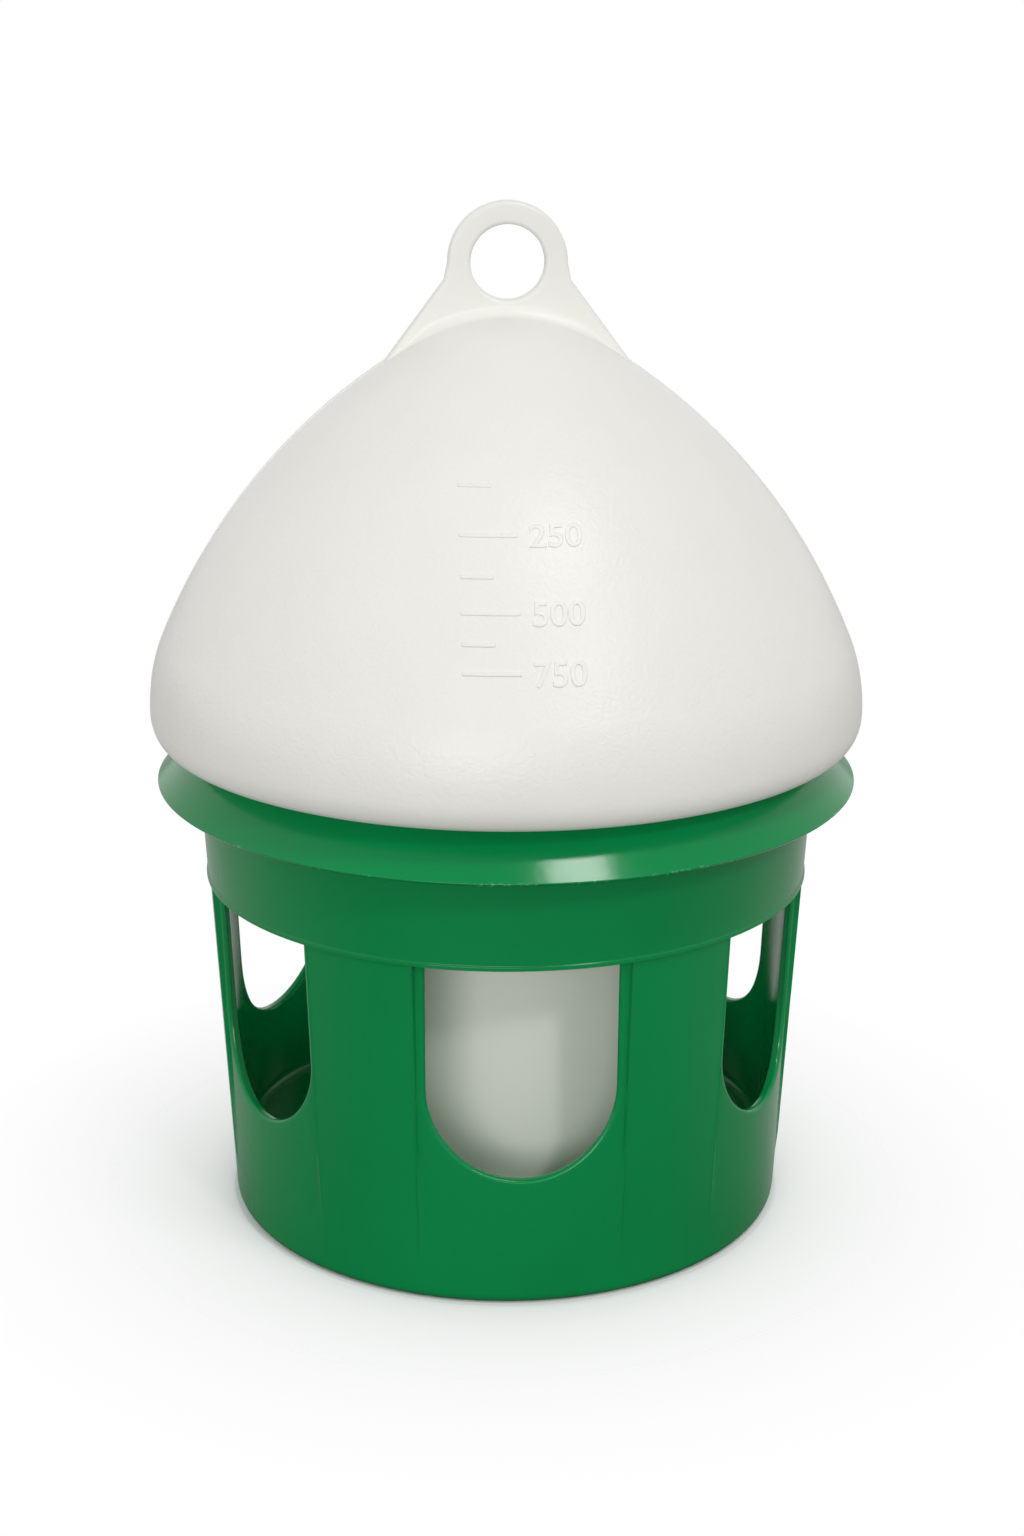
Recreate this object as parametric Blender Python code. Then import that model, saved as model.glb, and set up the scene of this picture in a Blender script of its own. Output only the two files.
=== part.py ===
"""Pigeon waterer: a moulded drinking base with six feeding windows and a rain
skirt, and a blown bottle with a domed top that stands upside down in it.

Each of the two mouldings is divided, where its form changes, into simple sections
that keep a small gap and stay together: floor, ledges, trough wall, pillars, collar
and skirt for the base, and domed body, shoulder, neck and tab for the bottle.

Frame: +Z up, the floor at z = 0, the axis of the vessel on Z.  The middle of
the front window looks along -Y, and the flat hanging tab lies in the XZ plane.
All named sizes are in millimetres.
"""

import math

import bmesh
import bpy

MM = 0.001

# Fits and gaps
SEAT_GAP = 0.3
NECK_GUIDE_GAP = 0.6
NECK_FOOT_GAP = 1.0
LUG_HEIGHT_GAP = 0.5
LUG_SIDE_GAP = 0.5
SECTION_GAP = 0.3

# Drinking base: outer wall, foot and floor
FOOT_R = 75.2
OUTER_DRAFT_DEG = 3.0
FOOT_EDGE_R = 1.2
FOOT_RIM_W = 3.2
FOOT_DRAFT_DEG = 2.0
FLOOR_TOP = 13.0
FLOOR_T = 2.5
FLOOR_CORNER_R = 3.0
TROUGH_WALL_DROP = 9.5

# Drinking base: pillars, sunk window fields and windows
WINDOW_COUNT = 6
WINDOW_W = 48.4
SIDE_WINDOW_W = 45.0
WINDOW_ARC_Z = 59.5
FIELD_BORDER = 2.7
FIELD_DEPTH = 1.2
FIELD_SIDE_W = 2.4
FIELD_FADE_Z = 12.0
PILLAR_T = 3.7
CORE_DRAFT_DEG = 2.5

# Drinking base: collar, rain skirt and rim
COLLAR_Z = 93.4
COLLAR_STEP = 0.5
COLLAR_T = 2.7
COLLAR_THICK_BAND = 1.5
COLLAR_INNER_STEP_H = 1.5
RIM_Z = 132.25
RIM_CHAMFER = 0.9
SKIRT_R = 93.0
SKIRT_DROP_DEG = 47.0
SKIRT_ROOT_T = 1.7
SKIRT_LIP_T = 1.1

# Socket on the floor of the base
SOCKET_T = 2.2
SOCKET_LEDGE_T = 2.0
SOCKET_COUNT = 3
SOCKET_SPAN_DEG = 60.0
SOCKET_STOP_DEG = 5.0
EMBED = 0.5

# Bottle: neck, lugs and water outlets
NECK_R = 50.0
NECK_CORNER_R = 5.0
BOTTLE_T = 1.8
LUG_OUT = 2.5
LUG_H = 3.0
LUG_LIFT = 3.0
LUG_SPAN_DEG = 18.0
LOCK_TURN_DEG = 32.0
OUTLET_W = 14.0
OUTLET_H = 8.0

# Bottle: shoulder and dome
SEAT_IN = 4.0
FUNNEL_DEG = 12.0
BODY_R = 94.2
ROLL_OUT = 3.9
ROLL_UP = 6.8
DOME_H = 101.5
CROWN_R = 44.0
FLANK_R = 159.0
WAIST_R = 48.0

# Bottle: hanging tab
TAB_T = 4.9
TAB_EDGE = 0.9
TAB_RING_R = 15.25
TAB_HOLE_R = 9.45
TAB_RING_RISE = 13.3
TAB_WAIST_W = 32.4
TAB_WAIST_DROP = 4.5
TAB_FOOT_W = 63.2
TAB_FOOT_DROP = 25.0
TAB_ROOT = 12.0

# Faceting
ROUND_STEPS = 72
HOLE_STEPS = 36
SILL_STEPS = 14
SMALL_ARC_STEPS = 3
CROWN_STEPS = 4
FLANK_STEPS = 7
WAIST_STEPS = 4
SHARP_DEG = 35.0

# Worked out from the sizes above
OUTER_SLOPE = math.tan(math.radians(OUTER_DRAFT_DEG))
CORE_SLOPE = math.tan(math.radians(CORE_DRAFT_DEG))
SEAT_Z = RIM_Z + SEAT_GAP
WIDEST_Z = SEAT_Z + ROLL_UP
APEX_Z = WIDEST_Z + DOME_H
NECK_FOOT_Z = FLOOR_TOP + NECK_FOOT_GAP
LUG_Z = NECK_FOOT_Z + LUG_LIFT
LUG_TOP_Z = LUG_Z + LUG_H
LEDGE_IN_R = NECK_R + NECK_GUIDE_GAP
SOCKET_IN_R = NECK_R + LUG_OUT + LUG_SIDE_GAP
SOCKET_OUT_R = SOCKET_IN_R + SOCKET_T
LEDGE_Z = LUG_TOP_Z + LUG_HEIGHT_GAP
SOCKET_TOP_Z = LEDGE_Z + SOCKET_LEDGE_T
RING_Z = APEX_Z + TAB_RING_RISE
FLOOR_UNDER_Z = FLOOR_TOP - FLOOR_T
TROUGH_WALL_Z = WINDOW_ARC_Z - TROUGH_WALL_DROP
FRONT_DEG = -90.0


def wall_r(z):
    """Radius of the pillars' outer faces at a height."""
    return FOOT_R + z * OUTER_SLOPE


def collar_r(z):
    """Radius of the collar's outer face at a height."""
    return wall_r(z) + COLLAR_STEP


def core_r(z):
    """Radius of the base's inner wall below the collar at a height."""
    return wall_r(COLLAR_Z) - PILLAR_T - (COLLAR_Z - z) * CORE_SLOPE


def field_r(z):
    """Radius of the sunk window fields, which run out at FIELD_FADE_Z."""
    sunk = FIELD_DEPTH * (z - FIELD_FADE_Z) / (COLLAR_Z - FIELD_FADE_Z)
    return wall_r(z) - sunk


def clear_scene():
    for old in list(bpy.data.objects):
        bpy.data.objects.remove(old, do_unlink=True)


def plastic(name, colour, roughness, transmission):
    """A moulded plastic with its own colour and gloss."""
    material = bpy.data.materials.new(name)
    material.use_nodes = True
    shader = material.node_tree.nodes["Principled BSDF"]
    shader.inputs["Base Color"].default_value = (*colour, 1.0)
    shader.inputs["Roughness"].default_value = roughness
    shader.inputs["Metallic"].default_value = 0.0
    shader.inputs["Subsurface Weight"].default_value = transmission
    material.diffuse_color = (*colour, 1.0)
    return material


def arc(centre_r, centre_z, radius_r, radius_z, start_deg, end_deg, steps):
    """Points of an arc in the (r, z) plane, both ends included."""
    points = []
    for i in range(steps + 1):
        angle = math.radians(start_deg + (end_deg - start_deg) * i / steps)
        r = centre_r + radius_r * math.cos(angle)
        z = centre_z + radius_z * math.sin(angle)
        points.append((r, z))
    return points


def object_from(name, mesh_builder):
    """A new object from a bmesh in millimetres, with faces pointing out."""
    bmesh.ops.recalc_face_normals(mesh_builder, faces=mesh_builder.faces)
    bmesh.ops.scale(mesh_builder, vec=(MM, MM, MM), verts=mesh_builder.verts)
    mesh = bpy.data.meshes.new(name)
    mesh_builder.to_mesh(mesh)
    mesh_builder.free()
    made = bpy.data.objects.new(name, mesh)
    bpy.context.scene.collection.objects.link(made)
    return made


def turned(name, outline):
    """A solid turned about Z from an outline of (r, z) points whose ends lie on the axis."""
    shape = bmesh.new()
    verts = [shape.verts.new((r, 0.0, z)) for r, z in outline]
    edges = [shape.edges.new(pair) for pair in zip(verts, verts[1:])]
    bmesh.ops.spin(shape, geom=verts + edges, cent=(0, 0, 0), axis=(0, 0, 1),
                   angle=math.tau, steps=ROUND_STEPS, use_merge=True)
    bmesh.ops.remove_doubles(shape, verts=shape.verts, dist=0.001)
    return object_from(name, shape)


def turned_ring(name, outline):
    """A ring turned about Z from a closed outline of (r, z) points."""
    shape = bmesh.new()
    verts = [shape.verts.new((r, 0.0, z)) for r, z in outline]
    edges = [shape.edges.new((verts[i], verts[i - 1])) for i in range(len(verts))]
    bmesh.ops.spin(shape, geom=verts + edges, cent=(0, 0, 0), axis=(0, 0, 1),
                   angle=math.tau, steps=ROUND_STEPS, use_merge=True)
    return object_from(name, shape)


def add_sector(shape, outline, middle_deg, span_deg):
    """Adds a closed (r, z) outline swept round Z through an angle, with end faces."""
    start = math.radians(middle_deg - span_deg / 2)
    ring = [shape.verts.new((r * math.cos(start), r * math.sin(start), z)) for r, z in outline]
    face = shape.faces.new(ring)
    steps = max(1, round(span_deg / (360 / ROUND_STEPS)))
    swept = bmesh.ops.spin(shape, geom=[face], cent=(0, 0, 0), axis=(0, 0, 1),
                           angle=math.radians(span_deg), steps=steps)
    return swept


def add_prism(shape, lower, upper):
    """Adds a solid between two outlines of (x, y, z) points with like corners."""
    bottom = [shape.verts.new(point) for point in lower]
    top = [shape.verts.new(point) for point in upper]
    shape.faces.new(bottom)
    shape.faces.new(top)
    for i in range(len(bottom)):
        j = (i + 1) % len(bottom)
        shape.faces.new((bottom[i], bottom[j], top[j], top[i]))


def turned_about_z(points, angle_deg):
    """Points turned about Z, given with their own side facing -Y."""
    angle = math.radians(angle_deg - FRONT_DEG)
    cos, sin = math.cos(angle), math.sin(angle)
    return [(x * cos - y * sin, x * sin + y * cos, z) for x, y, z in points]


def combine(target, tool, operation):
    """Cuts the tool from the target, joins it or keeps what they share."""
    tool.hide_render = True
    tool.display_type = "WIRE"
    change = target.modifiers.new(tool.name, "BOOLEAN")
    change.operation = operation
    change.solver = "EXACT"
    change.object = tool


def finish(made, material):
    """Gives a piece its material and smooth round faces."""
    made.data.materials.append(material)
    made.data.shade_smooth()
    made.data.set_sharp_from_angle(angle=math.radians(SHARP_DEG))


# Drinking base


def floor_outline():
    """The flat floor of the trough, up to the corner that rises into the wall."""
    edge_r = floor_edge_r() - SECTION_GAP
    return [(0.0, FLOOR_UNDER_Z), (edge_r, FLOOR_UNDER_Z), (edge_r, FLOOR_TOP), (0.0, FLOOR_TOP)]


def floor_edge_r():
    """Where the flat floor ends and its rounded corner begins."""
    return core_r(FLOOR_TOP + FLOOR_CORNER_R) - FLOOR_CORNER_R


def trough_wall_outline():
    """The foot's ring, the wall of the trough above it and the floor's rounded corner."""
    foot_in_r = FOOT_R - FOOT_RIM_W
    foot_root_r = foot_in_r - FLOOR_UNDER_Z * math.tan(math.radians(FOOT_DRAFT_DEG))
    points = [(floor_edge_r(), FLOOR_UNDER_Z), (foot_root_r, FLOOR_UNDER_Z), (foot_in_r, 0.0)]
    points += arc(wall_r(FOOT_EDGE_R) - FOOT_EDGE_R, FOOT_EDGE_R, FOOT_EDGE_R, FOOT_EDGE_R,
                  -90, 0, SMALL_ARC_STEPS)
    points += [(wall_r(TROUGH_WALL_Z), TROUGH_WALL_Z), (core_r(TROUGH_WALL_Z), TROUGH_WALL_Z)]
    corner_z = FLOOR_TOP + FLOOR_CORNER_R
    points += arc(core_r(corner_z) - FLOOR_CORNER_R, corner_z, FLOOR_CORNER_R, FLOOR_CORNER_R,
                  0, -90, SMALL_ARC_STEPS)
    return points


def pillar_outline():
    """The wall between the trough and the collar, before the windows are cut."""
    low_z = TROUGH_WALL_Z + SECTION_GAP
    high_z = COLLAR_Z - SECTION_GAP
    return [(wall_r(low_z), low_z), (wall_r(high_z), high_z),
            (core_r(high_z), high_z), (core_r(low_z), low_z)]


def collar_outline():
    """The collar: its small step out, its outer face, the rim and the thinner upper wall."""
    step_z = COLLAR_Z + COLLAR_THICK_BAND
    step_top_z = step_z + COLLAR_INNER_STEP_H
    chamfer_z = RIM_Z - RIM_CHAMFER
    return [(wall_r(COLLAR_Z), COLLAR_Z), (collar_r(COLLAR_Z), COLLAR_Z + COLLAR_STEP),
            (collar_r(chamfer_z), chamfer_z), (collar_r(RIM_Z) - RIM_CHAMFER, RIM_Z),
            (collar_r(RIM_Z) - COLLAR_T, RIM_Z), (collar_r(step_top_z) - COLLAR_T, step_top_z),
            (core_r(step_z), step_z), (core_r(COLLAR_Z), COLLAR_Z)]


def skirt_outline():
    """The rain skirt, which slopes out and down from just under the rim."""
    slope = math.tan(math.radians(SKIRT_DROP_DEG))
    top_z = RIM_Z - RIM_CHAMFER
    collar_top_r = collar_r(top_z)
    root_r = collar_top_r + SECTION_GAP
    root_z = top_z - SECTION_GAP * slope
    lip_z = top_z - (SKIRT_R - collar_top_r) * slope
    lip_in_r = SKIRT_R - SKIRT_LIP_T * math.sin(math.radians(SKIRT_DROP_DEG))
    lip_in_z = lip_z - SKIRT_LIP_T * math.cos(math.radians(SKIRT_DROP_DEG))
    under_z = root_z - SKIRT_ROOT_T / math.cos(math.radians(SKIRT_DROP_DEG))
    return [(root_r, under_z), (lip_in_r, lip_in_z), (SKIRT_R, lip_z), (root_r, root_z)]


def window_width(i):
    """Width of each window: the front and back ones are wider than the four at the sides."""
    return WINDOW_W if i % (WINDOW_COUNT // 2) == 0 else SIDE_WINDOW_W


def field_blocks():
    """Six blocks with sloping sides, each a border wider than its window."""
    reach = 2.0
    far_y = SKIRT_R
    shape = bmesh.new()
    for i in range(WINDOW_COUNT):
        half = math.asin((window_width(i) / 2 + FIELD_BORDER) / wall_r(WINDOW_ARC_Z))
        step_x = FIELD_SIDE_W * math.cos(half) + FIELD_DEPTH * math.sin(half)
        step_y = FIELD_DEPTH * math.cos(half) - FIELD_SIDE_W * math.sin(half)
        levels = []
        for z in (FIELD_FADE_Z, COLLAR_Z):
            edge_x = wall_r(z) * math.sin(half)
            edge_y = wall_r(z) * math.cos(half)
            outer = (edge_x + reach * step_x, edge_y + reach * step_y)
            inner = (edge_x - reach * step_x, edge_y - reach * step_y)
            levels.append([
                (-inner[0], -inner[1], z), (inner[0], -inner[1], z),
                (outer[0], -outer[1], z), (outer[0], -far_y, z),
                (-outer[0], -far_y, z), (-outer[0], -outer[1], z),
            ])
        place = FRONT_DEG + i * 360 / WINDOW_COUNT
        add_prism(shape, turned_about_z(levels[0], place), turned_about_z(levels[1], place))
    return object_from("field_blocks", shape)


def field_ring():
    """The ring of material outside the sunk fields' own cone."""
    outline = [(field_r(FIELD_FADE_Z), FIELD_FADE_Z), (SKIRT_R, FIELD_FADE_Z),
               (SKIRT_R, COLLAR_Z), (field_r(COLLAR_Z), COLLAR_Z)]
    return turned_ring("field_ring", outline)


def window_blocks():
    """Six U-shaped blocks, round at the sill and square under the collar."""
    near_y = core_r(FLOOR_TOP) * math.cos(math.pi / WINDOW_COUNT)
    shape = bmesh.new()
    for i in range(WINDOW_COUNT):
        half = window_width(i) / 2
        outline = [(half, COLLAR_Z)]
        outline += arc(0.0, WINDOW_ARC_Z, half, half, 0, -180, SILL_STEPS)
        outline += [(-half, COLLAR_Z)]
        place = FRONT_DEG + i * 360 / WINDOW_COUNT
        near = turned_about_z([(x, -near_y, z) for x, z in outline], place)
        far = turned_about_z([(x, -SKIRT_R, z) for x, z in outline], place)
        add_prism(shape, near, far)
    return object_from("window_blocks", shape)


def sector(name, outline, middle_deg, span_deg):
    """One solid sector of a turned outline."""
    shape = bmesh.new()
    add_sector(shape, outline, middle_deg, span_deg)
    return object_from(name, shape)


def window_pillar(i):
    """One sixth of the wall, from the middle of one window to the middle of the next."""
    share = 360 / WINDOW_COUNT
    return sector(f"window_pillar_{i + 1}", pillar_outline(), FRONT_DEG + (i + 0.5) * share, share)


def locking_ledge(i):
    """A low wall round the neck's foot, halfway between two entry gaps, with a ledge that a
    lug turns under and a web that ends the turn just past where the locked lug stands.
    """
    entry_deg = FRONT_DEG + i * 360 / SOCKET_COUNT
    root_z = FLOOR_TOP + SECTION_GAP
    wall = [(SOCKET_IN_R, root_z), (SOCKET_OUT_R, root_z), (SOCKET_OUT_R, SOCKET_TOP_Z),
            (LEDGE_IN_R, SOCKET_TOP_Z), (LEDGE_IN_R, LEDGE_Z), (SOCKET_IN_R, LEDGE_Z)]
    ledge = sector(f"locking_ledge_{i + 1}", wall, entry_deg + 180 / SOCKET_COUNT, SOCKET_SPAN_DEG)
    web_top_z = LEDGE_Z + EMBED
    web_out_r = SOCKET_IN_R + EMBED
    web = [(LEDGE_IN_R, root_z), (web_out_r, root_z), (web_out_r, web_top_z), (LEDGE_IN_R, web_top_z)]
    turn_deg = LOCK_TURN_DEG + LUG_SPAN_DEG / 2 + SOCKET_STOP_DEG / 2
    combine(ledge, sector(f"turn_stop_{i + 1}", web, entry_deg + turn_deg, SOCKET_STOP_DEG), "UNION")
    return ledge


def make_base():
    fields = field_blocks()
    combine(fields, field_ring(), "INTERSECT")
    windows = window_blocks()
    wall = turned_ring("trough_wall", trough_wall_outline())
    pillars = [window_pillar(i) for i in range(WINDOW_COUNT)]
    for section in (wall, *pillars):
        combine(section, fields, "DIFFERENCE")
        combine(section, windows, "DIFFERENCE")
    floor = turned("trough_floor", floor_outline())
    ledges = [locking_ledge(i) for i in range(SOCKET_COUNT)]
    collar = turned_ring("collar", collar_outline())
    skirt = turned_ring("rain_skirt", skirt_outline())
    green = plastic("green_polypropylene", (0.004, 0.19, 0.055), 0.28, 0.0)
    for section in (floor, wall, collar, skirt, *pillars, *ledges):
        finish(section, green)


# Bottle


def dome_outline(inset):
    """The dome from crown to waist, in three smooth arcs, ending just above the widest place."""
    crown = (0.0, APEX_Z - CROWN_R)
    waist = (BODY_R - WAIST_R, WIDEST_Z)
    to_crown = FLANK_R - CROWN_R
    to_waist = FLANK_R - WAIST_R
    span_r = waist[0] - crown[0]
    span_z = waist[1] - crown[1]
    span = math.hypot(span_r, span_z)
    along = (to_crown ** 2 - to_waist ** 2 + span ** 2) / (2 * span)
    aside = math.sqrt(to_crown ** 2 - along ** 2)
    flank = (crown[0] + (along * span_r + aside * span_z) / span,
             crown[1] + (along * span_z - aside * span_r) / span)
    upper_deg = math.degrees(math.atan2(crown[1] - flank[1], crown[0] - flank[0]))
    lower_deg = math.degrees(math.atan2(waist[1] - flank[1], waist[0] - flank[0]))
    crown_in = CROWN_R - inset
    flank_in = FLANK_R - inset
    waist_in = WAIST_R - inset
    points = arc(*crown, crown_in, crown_in, 90, upper_deg, CROWN_STEPS)[:-1]
    points += arc(*flank, flank_in, flank_in, upper_deg, lower_deg, FLANK_STEPS)[:-1]
    end_deg = math.degrees(math.asin(SECTION_GAP / waist_in))
    points += arc(*waist, waist_in, waist_in, lower_deg, end_deg, WAIST_STEPS)
    return points


def underside_outline(inset):
    """The rolled edge, the flat seat, the funnel and the corner into the neck."""
    points = arc(BODY_R - ROLL_OUT, WIDEST_Z, ROLL_OUT - inset, ROLL_UP - inset, 0, -90, WAIST_STEPS)
    slope = math.radians(FUNNEL_DEG)
    seat_in_r = collar_r(RIM_Z) - SEAT_IN
    corner_shift = inset * math.tan(slope / 2)
    points.append((seat_in_r - corner_shift, SEAT_Z + inset))
    corner_r = NECK_R + NECK_CORNER_R
    funnel_z = SEAT_Z - (seat_in_r - corner_r) * math.tan(slope)
    corner_z = funnel_z - NECK_CORNER_R / math.cos(slope)
    bend = NECK_CORNER_R + inset
    points += arc(corner_r, corner_z, bend, bend, 90 + FUNNEL_DEG, 180, SMALL_ARC_STEPS)
    return points


def neck_outline():
    """The straight neck, from just below its corner to its open foot."""
    top_z = underside_outline(0.0)[-1][1] - SECTION_GAP
    in_r = NECK_R - BOTTLE_T
    return [(NECK_R, top_z), (NECK_R, NECK_FOOT_Z), (in_r, NECK_FOOT_Z), (in_r, top_z)]


def dome_clearance():
    """Cutter that ends the tab just clear of the dome, along the dome's own curve."""
    outline = dome_outline(-SECTION_GAP)
    outline.append((0.0, outline[-1][1]))
    return turned("dome_clearance", outline)


def tab_outline():
    """Front view of the hanging tab: a ring's top, a short waist and spreading feet."""
    waist_z = RING_Z - TAB_WAIST_DROP
    foot_z = RING_Z - TAB_FOOT_DROP
    root_z = foot_z - TAB_ROOT
    half_waist = TAB_WAIST_W / 2
    half_foot = TAB_FOOT_W / 2
    points = [(half_foot, root_z), (half_foot, foot_z), (half_waist, waist_z)]
    points += arc(0.0, RING_Z, TAB_RING_R, TAB_RING_R, 0, 180, HOLE_STEPS // 2)
    points += [(-half_waist, waist_z), (-half_foot, foot_z), (-half_foot, root_z)]
    return points


def tab_block():
    """The solid tab, its edges eased on both faces."""
    shape = bmesh.new()
    face = shape.faces.new([shape.verts.new((x, -TAB_T / 2, z)) for x, z in tab_outline()])
    rim = [edge for edge in face.edges]
    raised = bmesh.ops.extrude_face_region(shape, geom=[face])
    moved = [item for item in raised["geom"] if isinstance(item, bmesh.types.BMVert)]
    bmesh.ops.translate(shape, vec=(0, TAB_T, 0), verts=moved)
    rim += [edge for edge in shape.edges
            if edge not in rim and all(vert in moved for vert in edge.verts)]
    bmesh.ops.bevel(shape, geom=rim, offset=TAB_EDGE, offset_type="OFFSET", segments=1,
                    profile=0.5, affect="EDGES", material=-1)
    return object_from("hanging_tab", shape)


def tab_hole():
    """The hanging hole's cutter, wider at both faces where its edge is eased."""
    shape = bmesh.new()
    half = TAB_T / 2
    wide = TAB_HOLE_R + TAB_EDGE
    rings = [(wide + 1.0, half + 1.0), (wide, half), (TAB_HOLE_R, half - TAB_EDGE),
             (TAB_HOLE_R, TAB_EDGE - half), (wide, -half), (wide + 1.0, -half - 1.0)]
    verts = [shape.verts.new((0.0, y, 0.0)) for y in (half + 1.0,)]
    verts += [shape.verts.new((r, y, 0.0)) for r, y in rings]
    verts.append(shape.verts.new((0.0, -half - 1.0, 0.0)))
    edges = [shape.edges.new(pair) for pair in zip(verts, verts[1:])]
    bmesh.ops.spin(shape, geom=verts + edges, cent=(0, 0, 0), axis=(0, 1, 0),
                   angle=math.tau, steps=HOLE_STEPS, use_merge=True)
    bmesh.ops.remove_doubles(shape, verts=shape.verts, dist=0.001)
    bmesh.ops.translate(shape, vec=(0, 0, RING_Z), verts=shape.verts)
    return object_from("tab_hole", shape)


def neck_lugs():
    """Three lugs on the neck's foot, which stand in the socket's entry gaps."""
    outline = [(NECK_R - EMBED, LUG_Z), (NECK_R + LUG_OUT, LUG_Z),
               (NECK_R + LUG_OUT, LUG_TOP_Z), (NECK_R - EMBED, LUG_TOP_Z)]
    shape = bmesh.new()
    for i in range(SOCKET_COUNT):
        add_sector(shape, outline, FRONT_DEG + i * 360 / SOCKET_COUNT, LUG_SPAN_DEG)
    return object_from("neck_lugs", shape)


def outlet_blocks():
    """Cutters for the water outlets, which face the entry gaps once the bottle is locked."""
    half = OUTLET_W / 2
    near_y = NECK_R - BOTTLE_T * 3
    far_y = NECK_R + BOTTLE_T * 2
    top_z = NECK_FOOT_Z + OUTLET_H
    low_z = NECK_FOOT_Z - OUTLET_H
    section = [(-half, -near_y), (half, -near_y), (half, -far_y), (-half, -far_y)]
    shape = bmesh.new()
    for i in range(SOCKET_COUNT):
        place = FRONT_DEG + i * 360 / SOCKET_COUNT - LOCK_TURN_DEG
        low = turned_about_z([(x, y, low_z) for x, y in section], place)
        high = turned_about_z([(x, y, top_z) for x, y in section], place)
        add_prism(shape, low, high)
    return object_from("outlet_blocks", shape)


def make_bottle():
    dome = turned("domed_body", dome_outline(0.0) + dome_outline(BOTTLE_T)[::-1])
    shoulder = turned_ring("bottle_shoulder", underside_outline(0.0) + underside_outline(BOTTLE_T)[::-1])
    neck = turned_ring("bottle_neck", neck_outline())
    combine(neck, neck_lugs(), "UNION")
    combine(neck, outlet_blocks(), "DIFFERENCE")
    tab = tab_block()
    combine(tab, dome_clearance(), "DIFFERENCE")
    combine(tab, tab_hole(), "DIFFERENCE")
    milky = plastic("natural_polyethylene", (0.78, 0.78, 0.74), 0.4, 0.3)
    for section in (dome, shoulder, neck, tab):
        finish(section, milky)


clear_scene()
make_base()
make_bottle()
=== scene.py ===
"""A pigeon waterer: a green moulded drinking base with six feeding windows, and the
milky blown bottle that stands upside down in it, on a pale floor in soft light.

Frame: +Z up, floor at z = 0, the vessel's axis on Z, the front window along -Y.
Sizes are in millimetres unless a name says otherwise.
"""

import math
import bmesh
import bpy
from mathutils import Matrix, Vector


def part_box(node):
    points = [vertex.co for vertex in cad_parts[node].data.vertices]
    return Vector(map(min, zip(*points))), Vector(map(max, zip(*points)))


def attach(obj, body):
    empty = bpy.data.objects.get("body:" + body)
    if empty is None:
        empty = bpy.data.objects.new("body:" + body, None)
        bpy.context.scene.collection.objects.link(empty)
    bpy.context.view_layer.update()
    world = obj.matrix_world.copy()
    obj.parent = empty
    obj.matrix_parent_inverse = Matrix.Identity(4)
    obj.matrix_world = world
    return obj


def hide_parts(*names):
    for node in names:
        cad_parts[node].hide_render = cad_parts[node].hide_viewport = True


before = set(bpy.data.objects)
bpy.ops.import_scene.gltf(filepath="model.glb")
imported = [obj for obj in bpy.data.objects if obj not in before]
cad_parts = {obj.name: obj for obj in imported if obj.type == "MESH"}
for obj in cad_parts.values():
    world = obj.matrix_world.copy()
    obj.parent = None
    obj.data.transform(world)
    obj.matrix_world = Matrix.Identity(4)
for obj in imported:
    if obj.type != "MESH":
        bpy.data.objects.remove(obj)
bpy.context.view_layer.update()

# Camera: the photograph's viewpoint, a little to the left of the front window's middle and
# above the skirt, looking slightly down. Its tiny roll is the photograph's own.
MM = 0.001
CAMERA_PLACE = (1.59, -645.9, 322.5)
CAMERA_TURN_DEG = -3.3
CAMERA_PITCH_DEG = 17.43
CAMERA_ROLL_DEG = 0.188
LENS = 58.92
SENSOR_H = 36.0
NEAREST_M = 0.01

camera_data = bpy.data.cameras.new("camera")
camera_data.lens = LENS
camera_data.sensor_fit = "VERTICAL"
camera_data.sensor_height = SENSOR_H
camera_data.clip_start = NEAREST_M
camera = bpy.data.objects.new("camera", camera_data)
bpy.context.scene.collection.objects.link(camera)
camera.matrix_world = (
    Matrix.Rotation(math.radians(CAMERA_TURN_DEG), 4, "Z")
    @ Matrix.Translation([part * MM for part in CAMERA_PLACE])
    @ Matrix.Rotation(math.radians(90 - CAMERA_PITCH_DEG), 4, "X")
    @ Matrix.Rotation(math.radians(CAMERA_ROLL_DEG), 4, "Z")
)
bpy.context.scene.camera = camera
bpy.context.scene.view_settings.view_transform = "Standard"

# Wall of the drinking base: the trough, the six pillars and the sunk fields round the
# windows, one thin-walled moulding of green polypropylene with draft on its faces. Its
# window edges are eased, and a fine bead follows both sides of each field.
FRONT_DEG = -90.0
WINDOW_COUNT = 6
WINDOW_W = 48.4
SIDE_WINDOW_W = 45.0
WINDOW_ARC_Z = 59.5
WINDOW_TOP_R = 1.3
WINDOW_EDGE_R = 1.0
FIELD_BORDER = 2.7
FIELD_DEPTH = 1.3
FIELD_SIDE_W = 0.5
FIELD_FADE_Z = 12.0
FIELD_EDGE_SOFT = 0.25
BEAD_W = 0.7
BEAD_H = 0.28
BEAD_FADE_H = 6.0
PILLAR_T = 3.7
OUTER_SLOPE = math.tan(math.radians(3.0))
CORE_SLOPE = math.tan(math.radians(2.5))
FLOOR_CORNER_R = 3.0
FLOOR_RINGS = (60.0, 40.0, 20.0, 0.0)
UNDERSIDE_RINGS = (50.0, 25.0, 0.0)
FOOT_RINGS_Z = (8.0, 4.0)
FOOT_EDGE_R = 2.5
FOOT_RIM_W = 3.2
FOOT_SLOPE = math.tan(math.radians(2.0))
FOOT_INNER_EDGE_R = 0.5
FOOT_ROOT_CHAMFER = 0.6
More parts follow.
